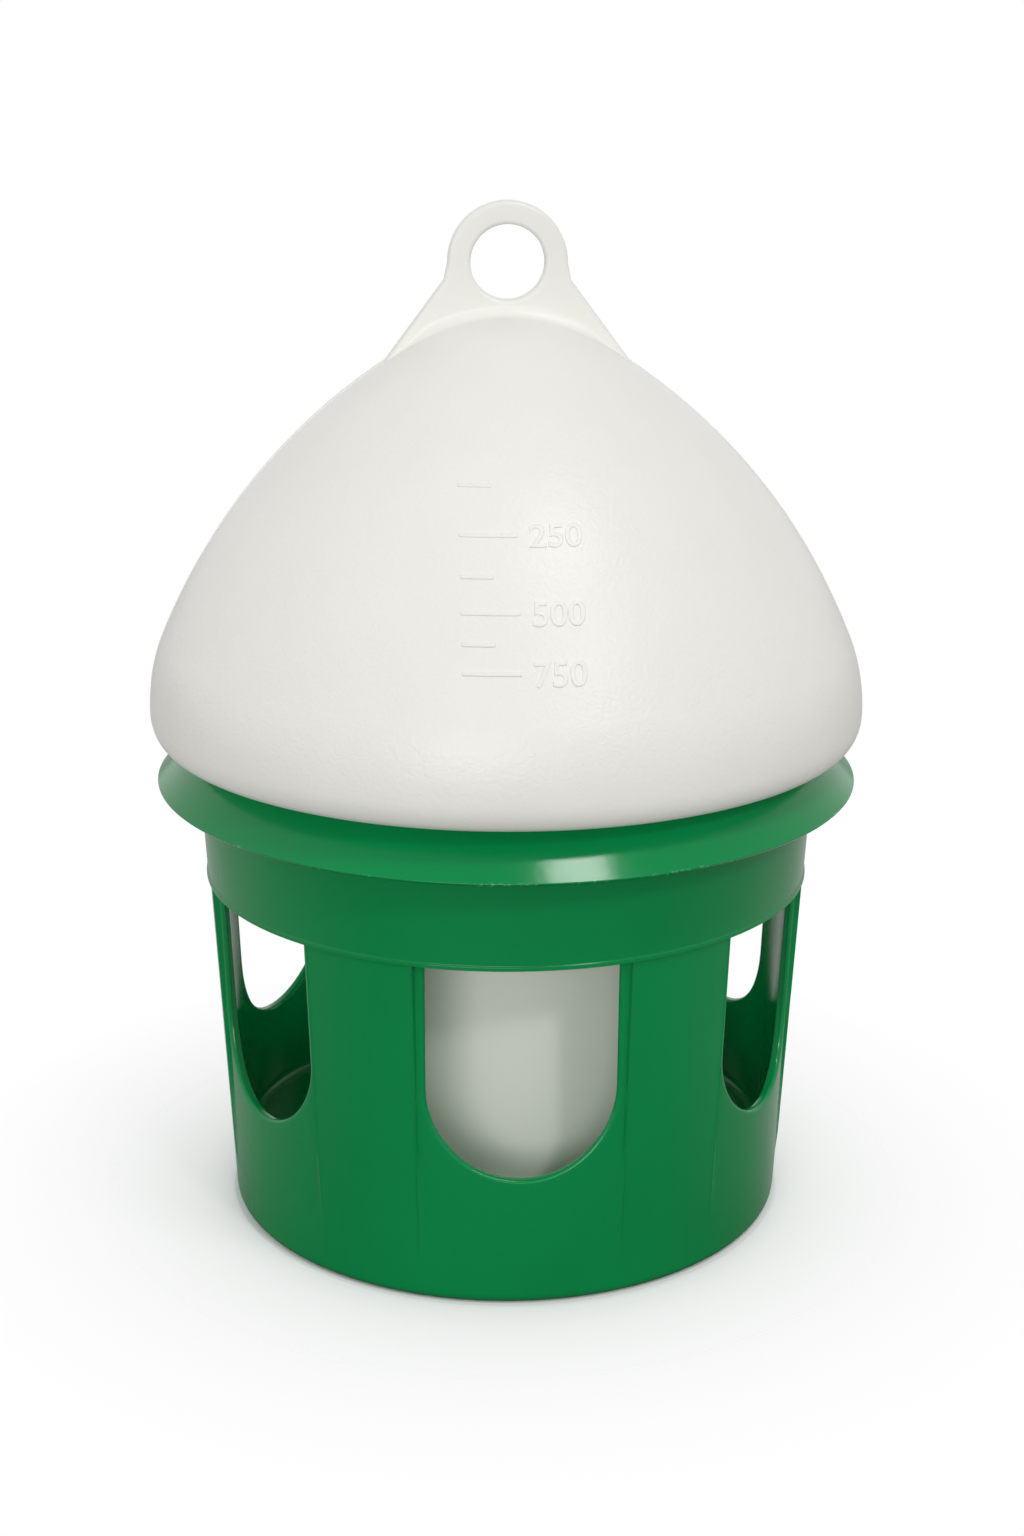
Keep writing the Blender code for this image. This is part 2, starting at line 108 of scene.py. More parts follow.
# How far a piece runs into the one that it grows from, so that no gap shows.
RUN_IN = 0.4
MERGE_WITHIN = 0.002
SAME_HEIGHT = 0.01
SHARP_DEG = 40
CORNER_STEPS = 4
JAMB_STEPS = 12
SILL_STEPS = 36
SILL_SIDE_STEPS = 11
ROUND_STEPS = 180
FOOT_EDGE_STEPS = 6
FOOT_INNER_STEPS = 3
FLOOR_CORNER_STEPS = 8
# A panel's rows: degrees round the window's edge, shares of the way on to the field's border,
# and millimetres short of that border.
EDGE_ARC = (0.0, 30.0, 60.0, 90.0)
OUTER_STATIONS = (0.0, 0.125, 0.25, 0.375, 0.5, 0.625, 0.75, 0.875, 1.0)
FIELD_SIDE_STATIONS = (1.15, 1.0, 0.85, 0.72, 0.62, 0.53, 0.44, 0.35, 0.26, 0.18, 0.09, 0.0)
FIELD_STATION_GAP = 0.2
INNER_STATIONS = (0.0, 0.25, 0.5, 0.75, 1.0)
PILLAR_COLUMNS = (0.0, 0.03, 0.14, 0.26, 0.38, 0.5, 0.62, 0.74, 0.86, 0.97, 1.0)

# The polypropylene has a saturated pigment under a semi-gloss skin. The polished mould
# leaves it smooth, with a faint orange peel, light rubbing from handling, and small pale
# nicks along the rain skirt's lip, where it is knocked and where its flash was cut.
POLYPROPYLENE_HEX = "#008D4B"
POLYPROPYLENE_DEEP_HEX = "#008344"
NICK_HEX = "#8FC3A4"
POLYPROPYLENE_IOR = 1.49
POLYPROPYLENE_GLOSS = 0.33
POLYPROPYLENE_ROUGHNESS = (0.13, 0.21)
CLOUD_MM = 38.0
PEEL_MM = 2.2
PEEL_DEPTH_MM = 0.05
PEEL_STRENGTH = 0.35
RUB_MM = 0.5
NICK_MM = 1.1
NICK_PATCH_MM = 13.0
NICK_CUT = (0.56, 0.64)
NICK_PATCH_CUT = (0.5, 0.6)
NICK_COVER = 0.6
# The nicks fade in and out over these heights above the lip, and these distances in from it.
NICK_BAND_MM = (-0.4, 0.1, 0.6, 1.2)
NICK_IN_MM = (4.0, 2.0)
# A Mix node's colour sockets go by number, because sockets of its other kinds share their names.
MIX_A = 6
MIX_B = 7
MIX_RESULT = 2


def linear(hex_colour):
    """Linear RGBA of an sRGB hex colour."""
    channels = [int(hex_colour[i:i + 2], 16) / 255 for i in (1, 3, 5)]
    curve = [c / 12.92 if c <= 0.04045 else ((c + 0.055) / 1.055) ** 2.4 for c in channels]
    return (*curve, 1.0)


def add_node(tree, kind, sockets=None, **settings):
    """One node, with its settings, and with each socket linked to another or given a value."""
    node = tree.nodes.new(kind)
    for name, value in settings.items():
        setattr(node, name, value)
    for socket, value in (sockets or {}).items():
        if isinstance(value, bpy.types.NodeSocket):
            tree.links.new(value, node.inputs[socket])
        else:
            node.inputs[socket].default_value = value
    return node


def new_material(name):
    """An empty material, its node tree and its Principled shader."""
    material = bpy.data.materials.new(name)
    material.use_nodes = True
    tree = material.node_tree
    return material, tree, tree.nodes["Principled BSDF"]


def per_metre(size_mm):
    """Noise scale on Object coordinates, in metres, for features of a size."""
    return 1 / (size_mm * MM)


def low(node):
    """Lowest corner of a CAD node, in millimetres."""
    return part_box(node)[0] / MM


def high(node):
    """Highest corner of a CAD node, in millimetres."""
    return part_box(node)[1] / MM


polypropylene, tree, shader = new_material("injection_moulded_polypropylene")
place = add_node(tree, "ShaderNodeTexCoord").outputs["Object"]
cloud = add_node(tree, "ShaderNodeTexNoise", {
    "Vector": place, "Scale": per_metre(CLOUD_MM), "Detail": 3.0, "Roughness": 0.5})
peel = add_node(tree, "ShaderNodeTexNoise", {
    "Vector": place, "Scale": per_metre(PEEL_MM), "Detail": 2.0, "Roughness": 0.5})
rub = add_node(tree, "ShaderNodeTexNoise", {
    "Vector": place, "Scale": per_metre(RUB_MM), "Detail": 4.0, "Roughness": 0.6})
nick = add_node(tree, "ShaderNodeTexNoise", {
    "Vector": place, "Scale": per_metre(NICK_MM), "Detail": 1.0, "Roughness": 0.5})
patch = add_node(tree, "ShaderNodeTexNoise", {
    "Vector": place, "Scale": per_metre(NICK_PATCH_MM), "Detail": 1.0, "Roughness": 0.5})
pigment = add_node(tree, "ShaderNodeMix", {
    "Factor": cloud.outputs["Fac"], MIX_A: linear(POLYPROPYLENE_HEX),
    MIX_B: linear(POLYPROPYLENE_DEEP_HEX)}, data_type="RGBA")
height = add_node(tree, "ShaderNodeSeparateXYZ", {"Vector": place}).outputs["Z"]
flattened = add_node(tree, "ShaderNodeVectorMath", {
    0: place, 1: (1.0, 1.0, 0.0)}, operation="MULTIPLY")
from_axis = add_node(tree, "ShaderNodeVectorMath", {
    0: flattened.outputs["Vector"]}, operation="LENGTH")
lip_low = low("rain_skirt").z
lip_band = [(lip_low + reach) * MM for reach in NICK_BAND_MM]
lip_ring = [(high("rain_skirt").x - reach) * MM for reach in NICK_IN_MM]
speck = add_node(tree, "ShaderNodeMapRange", {
    "Value": nick.outputs["Fac"], "From Min": NICK_CUT[0], "From Max": NICK_CUT[1]})
nicked = speck.outputs["Result"]
for source, (from_low, from_high), (to_low, to_high) in (
        (patch.outputs["Fac"], NICK_PATCH_CUT, (0.0, NICK_COVER)),
        (from_axis.outputs["Value"], lip_ring, (0.0, 1.0)),
        (height, lip_band[:2], (0.0, 1.0)),
        (height, lip_band[2:], (1.0, 0.0))):
    limit = add_node(tree, "ShaderNodeMapRange", {
        "Value": source, "From Min": from_low, "From Max": from_high,
        "To Min": to_low, "To Max": to_high})
    held = add_node(tree, "ShaderNodeMath", {
        0: nicked, 1: limit.outputs["Result"]}, operation="MULTIPLY")
    nicked = held.outputs["Value"]
worn = add_node(tree, "ShaderNodeMix", {
    "Factor": nicked, MIX_A: pigment.outputs[MIX_RESULT],
    MIX_B: linear(NICK_HEX)}, data_type="RGBA")
gloss = add_node(tree, "ShaderNodeMapRange", {
    "Value": rub.outputs["Fac"], "To Min": POLYPROPYLENE_ROUGHNESS[0],
    "To Max": POLYPROPYLENE_ROUGHNESS[1]})
relief = add_node(tree, "ShaderNodeBump", {
    "Height": peel.outputs["Fac"], "Strength": PEEL_STRENGTH, "Distance": PEEL_DEPTH_MM * MM})
tree.links.new(worn.outputs[MIX_RESULT], shader.inputs["Base Color"])
tree.links.new(gloss.outputs["Result"], shader.inputs["Roughness"])
tree.links.new(relief.outputs["Normal"], shader.inputs["Normal"])
shader.inputs["IOR"].default_value = POLYPROPYLENE_IOR
shader.inputs["Specular IOR Level"].default_value = POLYPROPYLENE_GLOSS

collar_z = low("collar").z
rim_z = high("collar").z
floor_top = high("trough_floor").z
floor_under = low("trough_floor").z
foot_r = high("trough_wall").x - high("trough_wall").z * OUTER_SLOPE


def wall_r(z):
    """Radius of the pillars' outer faces."""
    return foot_r + z * OUTER_SLOPE


def core_r(z):
    """Radius of the wall's inside."""
    return wall_r(collar_z) - PILLAR_T - (collar_z - z) * CORE_SLOPE


def soft_min(a, b, softness):
    """The smaller of two values, rounded where they cross."""
    overlap = max(softness - abs(a - b), 0.0) / softness
    return min(a, b) - overlap * overlap * softness / 4


def face_r(inside, z, from_border):
    """Radius of the wall's face at a distance inside a sunk field's border, which a fine
    bead follows before the wall falls away into the field.
    """
    if inside:
        return core_r(z)
    sunk = FIELD_DEPTH * max(0.0, z - FIELD_FADE_Z) / (collar_z - FIELD_FADE_Z)
    slope = (from_border - BEAD_W / 2) * FIELD_DEPTH / FIELD_SIDE_W - FIELD_EDGE_SOFT
    eased = -soft_min(0.0, -slope, FIELD_EDGE_SOFT)
    off_crest = min(1.0, abs(2 * from_border / BEAD_W - 1))
    bead = BEAD_H * (1 - off_crest ** 2) ** 2 * min(1.0, max(0.0, z - FIELD_FADE_Z) / BEAD_FADE_H)
    return wall_r(z) + bead - max(0.0, soft_min(sunk, eased, FIELD_EDGE_SOFT))


def window_width(i):
    """The front and back windows are a little wider than the side ones."""
    return WINDOW_W if i % (WINDOW_COUNT // 2) == 0 else SIDE_WINDOW_W


def border_angle(i):
    """Half the angle that a window's sunk field takes round the wall."""
    return math.asin((window_width(i) / 2 + FIELD_BORDER) / wall_r(WINDOW_ARC_Z))


def arc(centre_r, centre_z, radius_r, radius_z, start_deg, end_deg, steps):
    """Points of an arc, both ends included."""
    turns = [math.radians(start_deg + (end_deg - start_deg) * i / steps) for i in range(steps + 1)]
    return [(centre_r + radius_r * math.cos(a), centre_z + radius_z * math.sin(a)) for a in turns]


def window_outline(i, grow):
    """A window's edge from its top left corner, down, under and up, grown by a little."""
    half = window_width(i) / 2
    corner_z = collar_z - WINDOW_TOP_R
    corner_r = WINDOW_TOP_R + grow
    left = arc(WINDOW_TOP_R - half, corner_z, corner_r, corner_r, 90, 180, CORNER_STEPS)
    drop = (corner_z - WINDOW_ARC_Z) / JAMB_STEPS
    left += [(-half - grow, corner_z - k * drop) for k in range(1, JAMB_STEPS)]
    sill = arc(0.0, WINDOW_ARC_Z, half + grow, half + grow, 180, 360, SILL_STEPS)
    return left + sill + [(-x, z) for x, z in reversed(left)]


def border_outline(i, foot_z):
    """The field's border as (angle, z), with a point for each one of the window's edge."""
    half = border_angle(i)
    corner_z = collar_z - WINDOW_TOP_R
    left = [(-half, collar_z - WINDOW_TOP_R * k / CORNER_STEPS) for k in range(CORNER_STEPS + 1)]
    drop = (corner_z - WINDOW_ARC_Z) / JAMB_STEPS
    left += [(-half, corner_z - k * drop) for k in range(1, JAMB_STEPS)]
    fall = (WINDOW_ARC_Z - foot_z) / SILL_SIDE_STEPS
    left += [(-half, WINDOW_ARC_Z - k * fall) for k in range(SILL_SIDE_STEPS)]
    across = SILL_STEPS - 2 * SILL_SIDE_STEPS
    under = [(half * (2 * k / across - 1), foot_z) for k in range(across + 1)]
    return left + under + [(-angle, z) for angle, z in reversed(left)]


def round_point(angle, radius, z):
    """A point on the wall, its angle counted from the front."""
    turn = math.radians(FRONT_DEG) + angle
    return radius * math.cos(turn), radius * math.sin(turn), z


def panel_rows():
    """Each row across a window panel: inside face, eased edges, outside face."""
    rows = [("face", True, share) for share in reversed(INNER_STATIONS)]
    rows += [("edge", True, turn) for turn in EDGE_ARC[1:]]
    rows += [("edge", False, turn) for turn in reversed(EDGE_ARC[1:])]
    rows += [("face", False, share) for share in OUTER_STATIONS]
    rows += [("side", False, reach) for reach in FIELD_SIDE_STATIONS]
    return rows


def panel_point(i, column, row, outlines, borders):
    """Where a point of a window panel lies on the wall."""
    kind, inside, value = row
    middle = i * math.tau / WINDOW_COUNT
    if kind == "edge":
        ease = math.radians(value)
        x, z = outlines[value][column]
        depth = WINDOW_EDGE_R * (1 - math.cos(ease))
    else:
        x, z = outlines[0.0][column]
        depth = 0.0
    border, border_z = borders[inside][column]
    gap = (border_angle(i) - abs(math.asin(x / wall_r(z)))) * wall_r(z)
    radius = face_r(inside, z, gap)
    angle = math.asin(x / radius)
    if kind != "edge":
        share = value
        span = math.hypot((border - angle) * wall_r(z), border_z - z)
        if kind == "side":
            share = 1 - value / span
        elif not inside:
            share = value * (1 - (FIELD_SIDE_STATIONS[0] + FIELD_STATION_GAP) / span)
        angle += (border - angle) * share
        z += (border_z - z) * share
        gap = (border_angle(i) - abs(angle)) * wall_r(z)
        radius = face_r(inside, z, gap)
    radius += depth if inside else -depth
    if column in (0, len(outlines[0.0]) - 1):
        z = collar_z + RUN_IN
        radius += RUN_IN / 4 if inside else 0.0
    return round_point(middle + angle, radius, z)


def add_window_panel(shape, i):
    """The wall round one window, both faces and the window's own edge, as a bent grid."""
    rows = panel_rows()
    outlines = {}
    for turn in EDGE_ARC:
        outlines[turn] = window_outline(i, WINDOW_EDGE_R * (1 - math.sin(math.radians(turn))))
    borders = {True: border_outline(i, floor_top + FLOOR_CORNER_R),
               False: border_outline(i, FIELD_FADE_Z)}
    columns = len(outlines[0.0]) - 1
    grid = bmesh.ops.create_grid(shape, x_segments=columns, y_segments=len(rows) - 1, size=0.5)
    for vert in grid["verts"]:
        column = round((vert.co.x + 0.5) * columns)
        row = rows[round((vert.co.y + 0.5) * (len(rows) - 1))]
        vert.co = panel_point(i, column, row, outlines, borders)


def add_pillar(shape, i):
    """Both faces of the pillar between a window and the next, down past the sills."""
    start = border_angle(i)
    span = math.tau / WINDOW_COUNT - start - border_angle(i + 1)
    for inside, foot_z in ((True, floor_top + FLOOR_CORNER_R), (False, FIELD_FADE_Z)):
        border = border_outline(i, foot_z)
        heights = [z for _, z in border[:CORNER_STEPS + JAMB_STEPS + SILL_SIDE_STEPS + 1]]
        rows = len(heights) - 1
        columns = len(PILLAR_COLUMNS) - 1
        grid = bmesh.ops.create_grid(shape, x_segments=columns, y_segments=rows, size=0.5)
        for vert in grid["verts"]:
            row = round((vert.co.y + 0.5) * rows)
            share = PILLAR_COLUMNS[round((vert.co.x + 0.5) * columns)]
            z = heights[row]
            radius = core_r(z) if inside else wall_r(z)
            if row == 0:
                z = collar_z + RUN_IN
                radius = core_r(collar_z) + RUN_IN / 4 if inside else wall_r(collar_z)
            vert.co = round_point(i * math.tau / WINDOW_COUNT + start + share * span, radius, z)


def run_on(shape, z, profile):
    """Extrudes the open edge loop at a height on along a profile of (r, z) points."""
    edges = [edge for edge in shape.edges
             if edge.is_boundary and all(abs(vert.co.z - z) < SAME_HEIGHT for vert in edge.verts)]
    for radius, height in profile:
        made = bmesh.ops.extrude_edge_only(shape, edges=edges)["geom"]
        verts = {item for item in made if isinstance(item, bmesh.types.BMVert)}
        edges = [item for item in made if isinstance(item, bmesh.types.BMEdge)
                 and all(vert in verts for vert in item.verts)]
        for vert in verts:
            angle = math.atan2(vert.co.y, vert.co.x)
            vert.co = (radius * math.cos(angle), radius * math.sin(angle), height)


def make_piece(name, shape, material, sharp_deg=SHARP_DEG):
    """A finished mesh piece from a bmesh in millimetres, its doubles merged, faces out."""
    bmesh.ops.remove_doubles(shape, verts=shape.verts, dist=MERGE_WITHIN)
    bmesh.ops.recalc_face_normals(shape, faces=shape.faces)
    bmesh.ops.scale(shape, vec=(MM, MM, MM), verts=shape.verts)
    mesh = bpy.data.meshes.new(name)
    shape.to_mesh(mesh)
    shape.free()
    mesh.shade_smooth()
    mesh.set_sharp_from_angle(angle=math.radians(sharp_deg))
    mesh.materials.append(material)
    piece = bpy.data.objects.new(name, mesh)
    bpy.context.scene.collection.objects.link(piece)
    even = piece.modifiers.new("even_shading", "WEIGHTED_NORMAL")
    even.keep_sharp = True
    return piece


wall_shape = bmesh.new()
for i in range(WINDOW_COUNT):
    add_window_panel(wall_shape, i)
    add_pillar(wall_shape, i)
bmesh.ops.remove_doubles(wall_shape, verts=wall_shape.verts, dist=MERGE_WITHIN)
foot_in_r = foot_r - FOOT_RIM_W
foot_root_r = foot_in_r - floor_under * FOOT_SLOPE
foot_profile = [(wall_r(z), z) for z in FOOT_RINGS_Z]
foot_profile += arc(wall_r(FOOT_EDGE_R) - FOOT_EDGE_R, FOOT_EDGE_R, FOOT_EDGE_R, FOOT_EDGE_R,
                    0, -90, FOOT_EDGE_STEPS)
foot_profile += arc(foot_in_r + FOOT_INNER_EDGE_R, FOOT_INNER_EDGE_R, FOOT_INNER_EDGE_R,
                    FOOT_INNER_EDGE_R, -90, -180, FOOT_INNER_STEPS)
foot_profile += [(foot_root_r, floor_under - FOOT_ROOT_CHAMFER),
                 (foot_root_r - FOOT_ROOT_CHAMFER, floor_under)]
foot_profile += [(ring, floor_under) for ring in UNDERSIDE_RINGS]
run_on(wall_shape, FIELD_FADE_Z, foot_profile)
corner_z = floor_top + FLOOR_CORNER_R
floor_profile = arc(core_r(corner_z) - FLOOR_CORNER_R, corner_z, FLOOR_CORNER_R, FLOOR_CORNER_R,
                    0, -90, FLOOR_CORNER_STEPS)
floor_profile += [(ring, floor_top) for ring in FLOOR_RINGS]
run_on(wall_shape, corner_z, floor_profile)
bmesh.ops.remove_doubles(wall_shape, verts=wall_shape.verts, dist=MERGE_WITHIN)
bmesh.ops.holes_fill(wall_shape, edges=wall_shape.edges, sides=0)
trough_and_pillars = make_piece("trough_and_pillars", wall_shape, polypropylene)
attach(trough_and_pillars, "base")
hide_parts("trough_floor", "trough_wall",
            *[f"window_pillar_{i + 1}" for i in range(WINDOW_COUNT)])

# Collar, rim and rain skirt: the upper part of the same moulding. The skirt is a thin cone
# that runs out from just under the rim, and the collar steps out a little over the windows,
# with a fine raised lip along its lower edge.
COLLAR_STEP = 0.5
COLLAR_T = 2.7
COLLAR_LIP_OUT = 0.3
COLLAR_LIP_H = 1.0
COLLAR_THICK_BAND = 1.5
COLLAR_INNER_STEP_H = 1.5
RIM_CHAMFER = 0.9
SKIRT_DROP_DEG = 47.0
SKIRT_ROOT_T = 1.7
SKIRT_LIP_T = 1.1
COLLAR_LIP_ROUND = 0.15
SKIRT_ROOT_ROUND = 0.6
SKIRT_LIP_ROUND = 0.3
SKIRT_TOP_ROUND = 0.5
RIM_OUTER_ROUND = 0.2
RIM_INNER_ROUND = 0.4
COLLAR_INNER_ROUND = 0.5


def turned_outline(corners):
    """A new bmesh holding an outline of (r, z, rounding) corners turned full circle. A
    rounding is how far that corner's curve reaches along its two sides.
    """
    shape = bmesh.new()
    verts = [shape.verts.new((r, 0.0, z)) for r, z, _ in corners]
    shape.faces.new(verts)
    for reach in sorted({rounding for _, _, rounding in corners if rounding}):
        picked = [vert for vert, corner in zip(verts, corners) if corner[2] == reach]
        bmesh.ops.bevel(shape, geom=picked, offset=reach, offset_type="OFFSET", segments=4,
                        profile=0.5, affect="VERTICES", material=-1)
    bmesh.ops.delete(shape, geom=list(shape.faces), context="FACES_ONLY")
    bmesh.ops.spin(shape, geom=list(shape.verts) + list(shape.edges), cent=(0, 0, 0),
                   axis=(0, 0, 1), angle=math.tau, steps=ROUND_STEPS, use_merge=True)
    return shape


def collar_r(z):
    """Radius of the collar's outer face."""
    return wall_r(z) + COLLAR_STEP


skirt_r = high("rain_skirt").x
skirt_slope = math.radians(SKIRT_DROP_DEG)
skirt_top_z = rim_z - RIM_CHAMFER
skirt_lip_z = skirt_top_z - (skirt_r - collar_r(skirt_top_z)) * math.tan(skirt_slope)
skirt_root_z = skirt_top_z - SKIRT_ROOT_T / math.cos(skirt_slope)
thick_top_z = collar_z + COLLAR_THICK_BAND
thin_foot_z = thick_top_z + COLLAR_INNER_STEP_H
collar_shape = turned_outline([
    (core_r(collar_z), collar_z, 0.0),
    (collar_r(collar_z) + COLLAR_LIP_OUT, collar_z, COLLAR_LIP_ROUND),
    (collar_r(collar_z) + COLLAR_LIP_OUT, collar_z + COLLAR_LIP_H, COLLAR_LIP_ROUND),
    (collar_r(collar_z), collar_z + COLLAR_LIP_H + COLLAR_LIP_OUT, COLLAR_LIP_ROUND),
    (collar_r(skirt_root_z), skirt_root_z, SKIRT_ROOT_ROUND),
    (skirt_r - SKIRT_LIP_T * math.sin(skirt_slope),
     skirt_lip_z - SKIRT_LIP_T * math.cos(skirt_slope), SKIRT_LIP_ROUND),
    (skirt_r, skirt_lip_z, SKIRT_LIP_ROUND),
    (collar_r(skirt_top_z), skirt_top_z, SKIRT_TOP_ROUND),
    (collar_r(rim_z) - RIM_CHAMFER, rim_z, RIM_OUTER_ROUND),
    (collar_r(rim_z) - COLLAR_T, rim_z, RIM_INNER_ROUND),
    (collar_r(thin_foot_z) - COLLAR_T, thin_foot_z, COLLAR_INNER_ROUND),
    (core_r(thick_top_z), thick_top_z, COLLAR_INNER_ROUND),
])
collar_and_skirt = make_piece("collar_and_skirt", collar_shape, polypropylene)
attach(collar_and_skirt, "base")
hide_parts("collar", "rain_skirt")

# Locking ledges: three low walls moulded on the floor of the trough, each with a ledge that
# a lug of the bottle's neck turns under, and a web that stops the turn.
SOCKET_COUNT = 3
SOCKET_T = 2.2
SOCKET_LEDGE_T = 2.0
SOCKET_SPAN_DEG = 60.0
SOCKET_STOP_DEG = 5.0
NECK_GUIDE_GAP = 0.6
LUG_SIDE_GAP = 0.5
LUG_HEIGHT_GAP = 0.5
LUG_OUT = 2.5
LUG_H = 3.0
LUG_LIFT = 3.0
LUG_SPAN_DEG = 18.0
LOCK_TURN_DEG = 32.0
LEDGE_EDGE_R = 0.35
SECTOR_STEP_DEG = 3
EDGE_FROM_DEG = 30

neck_r = high("bottle_neck").x
neck_foot_z = low("bottle_neck").z
lug_z = neck_foot_z + LUG_LIFT
ledge_z = lug_z + LUG_H + LUG_HEIGHT_GAP
socket_top_z = ledge_z + SOCKET_LEDGE_T
ledge_in_r = neck_r + NECK_GUIDE_GAP
socket_in_r = neck_r + LUG_OUT + LUG_SIDE_GAP
socket_out_r = socket_in_r + SOCKET_T


def add_sector(shape, outline, middle_deg, span_deg, edge_r):
    """A closed (r, z) outline swept round Z through an angle, with eased edges."""
    start = math.radians(middle_deg - span_deg / 2)
    face = shape.faces.new([
        shape.verts.new((r * math.cos(start), r * math.sin(start), z)) for r, z in outline])
    before = set(shape.verts) - set(face.verts)
    steps = max(2, round(span_deg / SECTOR_STEP_DEG))
    bmesh.ops.spin(shape, geom=[face], cent=(0, 0, 0), axis=(0, 0, 1),
                   angle=math.radians(span_deg), steps=steps)
    mine = [edge for edge in shape.edges if not any(vert in before for vert in edge.verts)]
    bmesh.ops.recalc_face_normals(shape, faces=shape.faces)
    sharp = [edge for edge in mine if edge.calc_face_angle(0.0) > math.radians(EDGE_FROM_DEG)]
    bmesh.ops.bevel(shape, geom=sharp, offset=edge_r, offset_type="OFFSET", segments=2,
                    profile=0.5, affect="EDGES", material=-1)


ledge_shape = bmesh.new()
for i in range(SOCKET_COUNT):
    entry_deg = FRONT_DEG + i * 360 / SOCKET_COUNT
    root_z = floor_top - RUN_IN
    add_sector(ledge_shape, [(socket_in_r, root_z), (socket_out_r, root_z),
                             (socket_out_r, socket_top_z), (ledge_in_r, socket_top_z),
                             (ledge_in_r, ledge_z), (socket_in_r, ledge_z)],
               entry_deg + 180 / SOCKET_COUNT, SOCKET_SPAN_DEG, LEDGE_EDGE_R)
    turn_deg = LOCK_TURN_DEG + LUG_SPAN_DEG / 2 + SOCKET_STOP_DEG / 2
    web_top_z = ledge_z + RUN_IN
    add_sector(ledge_shape, [(ledge_in_r + RUN_IN, root_z), (socket_in_r + RUN_IN, root_z),
                             (socket_in_r + RUN_IN, web_top_z), (ledge_in_r + RUN_IN, web_top_z)],
               entry_deg + turn_deg, SOCKET_STOP_DEG, LEDGE_EDGE_R)
locking_ledges = make_piece("locking_ledges", ledge_shape, polypropylene)
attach(locking_ledges, "base")
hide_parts(*[f"locking_ledge_{i + 1}" for i in range(SOCKET_COUNT)])

# Bottle: one hollow body from the domed top over the rolled edge and the flat seat to the
# neck, blown from natural polyethylene about 1.8 mm thick and open at its foot. It stands by
# its seat on the base's rim, with the neck's three lugs in the gaps between the ledges.
BOTTLE_T = 1.8
SEAT_GAP = 0.3
SEAT_IN = 4.0
FUNNEL_DEG = 12.0
ROLL_OUT = 3.9
CROWN_R = 44.0
FLANK_R = 159.0
WAIST_R = 48.0
NECK_CORNER_R = 5.0
NECK_LIP_R = 0.6
NECK_RINGS_Z = (90.0, 50.0)
OUTLET_W = 14.0
OUTLET_H = 8.0
OUTLET_SLACK_RAD = 0.005
OUTLET_REACH_IN = 1.0
PARTING_W = 0.7
PARTING_H = 0.16
PARTING_ROOT = 0.6
CROWN_STEPS = 16
FLANK_STEPS = 20
WAIST_STEPS = 14
ROLL_STEPS = 10
NECK_CORNER_STEPS = 8
NECK_LIP_STEPS = 3

# The polyethylene is unpigmented and milky, with a satin skin. It keeps fine leathery
# wrinkles where it was blown, which show where the light glances off them. The neck stands
# in water and in the green base. Its lighter, faintly green colour is painted light: a painted
# green bounce from the base and a painted glow for the light that comes through the plastic.
POLYETHYLENE_HEX = "#F0EFEA"
POLYETHYLENE_CLOUDY_HEX = "#E9E8E2"
NECK_PAINTED_LIGHT_HEX = "#F4F7EB"
PAINTED_LIGHT_BAND_MM = (108.0, 122.0)
POLYETHYLENE_IOR = 1.51
POLYETHYLENE_ROUGHNESS = (0.34, 0.44)
MILK_MM = 30.0
WRINKLE_MM = 2.0
WRINKLE_DEPTH_MM = 0.15
WRINKLE_STRENGTH = 0.8
WRINKLE_LEAST = 0.05
GRAIN_MM = 0.45
# The wrinkles come in with height over the first of these ranges, and go over the second.
BLOWN_FROM_MM = (128.0, 150.0)
PINCHED_FROM_MM = (224.0, 238.0)

polyethylene, tree, shader = new_material("blow_moulded_natural_polyethylene")
place = add_node(tree, "ShaderNodeTexCoord").outputs["Object"]
milk = add_node(tree, "ShaderNodeTexNoise", {
    "Vector": place, "Scale": per_metre(MILK_MM), "Detail": 3.0, "Roughness": 0.55})
wrinkle = add_node(tree, "ShaderNodeTexNoise", {
    "Vector": place, "Scale": per_metre(WRINKLE_MM), "Detail": 2.0, "Roughness": 0.5,
    "Distortion": 1.2})
grain = add_node(tree, "ShaderNodeTexNoise", {
    "Vector": place, "Scale": per_metre(GRAIN_MM), "Detail": 2.0, "Roughness": 0.5})
milky = add_node(tree, "ShaderNodeMix", {
    "Factor": milk.outputs["Fac"], MIX_A: linear(POLYETHYLENE_HEX),
    MIX_B: linear(POLYETHYLENE_CLOUDY_HEX)}, data_type="RGBA")
satin = add_node(tree, "ShaderNodeMapRange", {
    "Value": grain.outputs["Fac"], "To Min": POLYETHYLENE_ROUGHNESS[0],
    "To Max": POLYETHYLENE_ROUGHNESS[1]})
height = add_node(tree, "ShaderNodeSeparateXYZ", {"Vector": place}).outputs["Z"]
# Painted light: below this band the neck takes the lighter, green-tinted colour of the painted
# bounce and glow.
upper = add_node(tree, "ShaderNodeMapRange", {
    "Value": height, "From Min": PAINTED_LIGHT_BAND_MM[0] * MM, "From Max": PAINTED_LIGHT_BAND_MM[1] * MM})
body = add_node(tree, "ShaderNodeMix", {
    "Factor": upper.outputs["Result"], MIX_A: linear(NECK_PAINTED_LIGHT_HEX),
    MIX_B: milky.outputs[MIX_RESULT]}, data_type="RGBA")
blown = wrinkle.outputs["Fac"]
for (from_low, from_high), (to_low, to_high) in ((BLOWN_FROM_MM, (WRINKLE_LEAST, 1.0)),
                                                 (PINCHED_FROM_MM, (1.0, WRINKLE_LEAST))):
    limit = add_node(tree, "ShaderNodeMapRange", {
        "Value": height, "From Min": from_low * MM, "From Max": from_high * MM,
        "To Min": to_low, "To Max": to_high})
    held = add_node(tree, "ShaderNodeMath", {
        0: blown, 1: limit.outputs["Result"]}, operation="MULTIPLY")
    blown = held.outputs["Value"]
